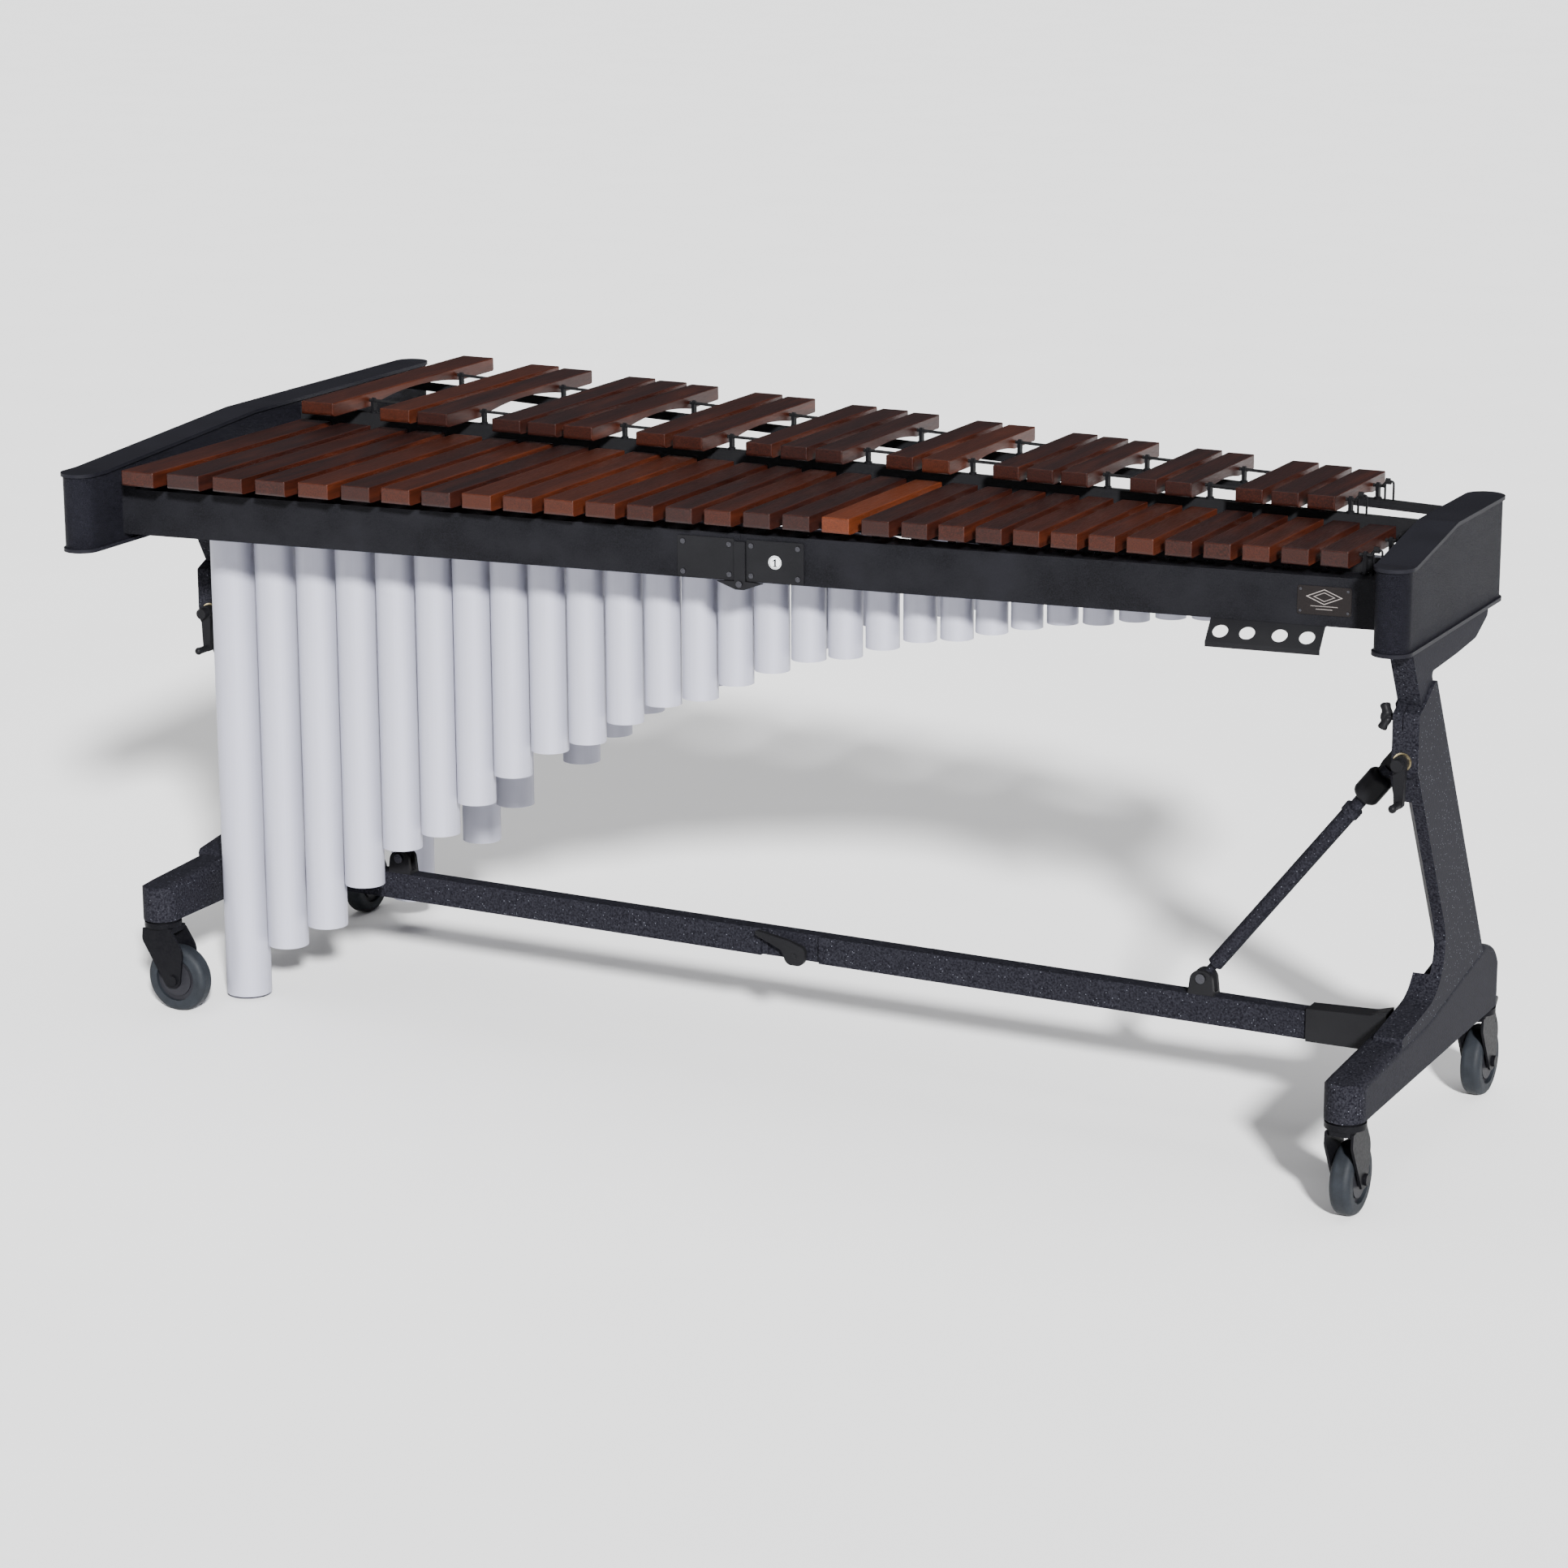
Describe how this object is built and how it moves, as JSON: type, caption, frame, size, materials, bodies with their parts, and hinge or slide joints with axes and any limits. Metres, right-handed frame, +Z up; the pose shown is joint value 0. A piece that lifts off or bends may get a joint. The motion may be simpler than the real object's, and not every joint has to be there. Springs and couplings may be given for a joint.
{
  "type": "marimba",
  "caption": "Concert marimba with rosewood bars on cords, metal resonator tubes, black end panels and a height-adjustable rolling frame.",
  "frame": {"origin": "centre of the outline at floor level", "axes": "+X towards the treble end, +Y away from the player, +Z up"},
  "size_m": [1.9598, 0.957, 0.8858],
  "materials": {
    "rosewood": "satin lacquered rosewood",
    "rail_paint": "charcoal wrinkle paint on an aluminium rail",
    "inner_rail_wood": "black painted wood",
    "black_metal": "satin black paint",
    "name_plate_metal": "satin plate with a dark field",
    "screw_steel": "bright steel",
    "post_plastic": "moulded black plastic",
    "bar_cord": "braided black cord",
    "tube_aluminium": "satin anodised aluminium tube",
    "strip_aluminium": "plain aluminium strip",
    "panel_vinyl": "wooden panel under black grained vinyl",
    "panel_cap_plastic": "satin black edge cap",
    "leg_hammertone": "dark grey hammertone paint on cast aluminium",
    "frame_paint": "dark grey hammertone paint on steel tube",
    "washer_brass": "brass washer",
    "black_plastic": "satin black moulded plastic",
    "fork_paint": "glossy black paint",
    "hub_plastic": "dark grey moulded hub",
    "wheel_rubber": "grey rubber tread"
  },
  "bodies": {
    "base": {"lower_leg_low": "leg_hammertone", "lower_leg_high": "leg_hammertone", "leg_clamp_low": "leg_hammertone", "leg_clamp_high": "leg_hammertone", "clamp_washers": "washer_brass", "stretcher_low": "frame_paint", "stretcher_high": "frame_paint", "stretcher_sockets": "black_metal", "strut_clevises": "black_metal", "strut_pins": "screw_steel", "strut_rod_low": "frame_paint", "strut_rod_high": "frame_paint", "strut_sleeves": "black_plastic"},
    "keyboard": {"natural_bars_low": "rosewood", "natural_bars_middle": "rosewood", "natural_bars_high": "rosewood", "accidental_bars_low": "rosewood", "accidental_bars_middle": "rosewood", "accidental_bars_high": "rosewood", "bar_posts": "post_plastic", "bar_cords": "bar_cord", "front_rail_low": "rail_paint", "front_rail_high": "rail_paint", "inner_rails_low": "inner_rail_wood", "inner_rails_high": "inner_rail_wood", "rail_joint_plates": "black_metal", "rail_screws": "screw_steel", "name_plate": "name_plate_metal", "rail_end_blocks": "black_plastic", "mallet_rack": "black_metal", "natural_resonators": "tube_aluminium", "accidental_resonators": "tube_aluminium", "resonator_strips": "strip_aluminium", "end_panel_low": "panel_vinyl", "end_panel_high": "panel_vinyl", "panel_top_cap_low": "panel_cap_plastic", "panel_top_cap_high": "panel_cap_plastic", "panel_bottom_cap_low": "panel_cap_plastic", "panel_bottom_cap_high": "panel_cap_plastic", "upper_leg_low": "leg_hammertone", "upper_leg_high": "leg_hammertone"},
    "caster_front_low": {"caster_fork_front_low": "fork_paint"},
    "wheel_front_low": {"caster_hub_front_low": "hub_plastic", "caster_tyre_front_low": "wheel_rubber"},
    "caster_front_high": {"caster_fork_front_high": "fork_paint"},
    "wheel_front_high": {"caster_hub_front_high": "hub_plastic", "caster_tyre_front_high": "wheel_rubber"},
    "caster_back_low": {"caster_fork_back_low": "fork_paint"},
    "wheel_back_low": {"caster_hub_back_low": "hub_plastic", "caster_tyre_back_low": "wheel_rubber"},
    "brake_back_low": {"brake_pedal_back_low": "black_plastic"},
    "caster_back_high": {"caster_fork_back_high": "fork_paint"},
    "wheel_back_high": {"caster_hub_back_high": "hub_plastic", "caster_tyre_back_high": "wheel_rubber"},
    "brake_back_high": {"brake_pedal_back_high": "black_plastic"},
    "lever_low": {"clamp_lever_low": "black_plastic"},
    "knob_low": {"height_knob_low": "black_plastic"},
    "lever_high": {"clamp_lever_high": "black_plastic"},
    "knob_high": {"height_knob_high": "black_plastic"},
    "latch": {"stretcher_latch": "black_metal"}
  },
  "joints": [
    {"name": "keyboard_height", "type": "slide", "parent": "base", "child": "keyboard", "axis": [0, -0.4898, 0.8718], "range_m": [0, 0.15]},
    {"name": "caster_swivel_front_low", "type": "hinge", "parent": "base", "child": "caster_front_low", "pos_m": [-0.949, -0.2985, 0.14], "axis": [0, 0, 1], "continuous": true},
    {"name": "wheel_roll_front_low", "type": "hinge", "parent": "caster_front_low", "child": "wheel_front_low", "pos_m": [-0.922, -0.2985, 0.05], "axis": [0, 1, 0], "continuous": true},
    {"name": "caster_swivel_front_high", "type": "hinge", "parent": "base", "child": "caster_front_high", "pos_m": [0.949, -0.3845, 0.14], "axis": [0, 0, 1], "continuous": true},
    {"name": "wheel_roll_front_high", "type": "hinge", "parent": "caster_front_high", "child": "wheel_front_high", "pos_m": [0.949, -0.3575, 0.05], "axis": [-1, 0, 0], "continuous": true},
    {"name": "caster_swivel_back_low", "type": "hinge", "parent": "base", "child": "caster_back_low", "pos_m": [-0.949, 0.2415, 0.14], "axis": [0, 0, 1], "continuous": true},
    {"name": "wheel_roll_back_low", "type": "hinge", "parent": "caster_back_low", "child": "wheel_back_low", "pos_m": [-0.949, 0.2685, 0.05], "axis": [-1, 0, 0], "continuous": true},
    {"name": "brake_press_back_low", "type": "hinge", "parent": "caster_back_low", "child": "brake_back_low", "pos_m": [-0.949, 0.2725, 0.109], "axis": [-1, 0, 0], "range_deg": [0, 18]},
    {"name": "caster_swivel_back_high", "type": "hinge", "parent": "base", "child": "caster_back_high", "pos_m": [0.949, 0.1555, 0.14], "axis": [0, 0, 1], "continuous": true},
    {"name": "wheel_roll_back_high", "type": "hinge", "parent": "caster_back_high", "child": "wheel_back_high", "pos_m": [0.949, 0.1825, 0.05], "axis": [-1, 0, 0], "continuous": true},
    {"name": "brake_press_back_high", "type": "hinge", "parent": "caster_back_high", "child": "brake_back_high", "pos_m": [0.949, 0.1865, 0.109], "axis": [-1, 0, 0], "range_deg": [0, 18]},
    {"name": "clamp_lever_turn_low", "type": "hinge", "parent": "base", "child": "lever_low", "pos_m": [-0.955, -0.1355, 0.577], "axis": [0, 1, 0], "range_deg": [-100, 100]},
    {"name": "height_knob_turn_low", "type": "hinge", "parent": "base", "child": "knob_low", "pos_m": [-0.93, -0.1255, 0.633], "axis": [1, 0, 0], "range_deg": [-180, 180]},
    {"name": "clamp_lever_turn_high", "type": "hinge", "parent": "base", "child": "lever_high", "pos_m": [0.955, -0.2215, 0.577], "axis": [0, 1, 0], "range_deg": [-100, 100]},
    {"name": "height_knob_turn_high", "type": "hinge", "parent": "base", "child": "knob_high", "pos_m": [0.93, -0.2115, 0.633], "axis": [1, 0, 0], "range_deg": [-180, 180]},
    {"name": "stretcher_latch_turn", "type": "hinge", "parent": "base", "child": "latch", "pos_m": [0.026, -0.11123, 0.164], "axis": [0, 1, 0], "range_deg": [0, 100]}
  ]
}
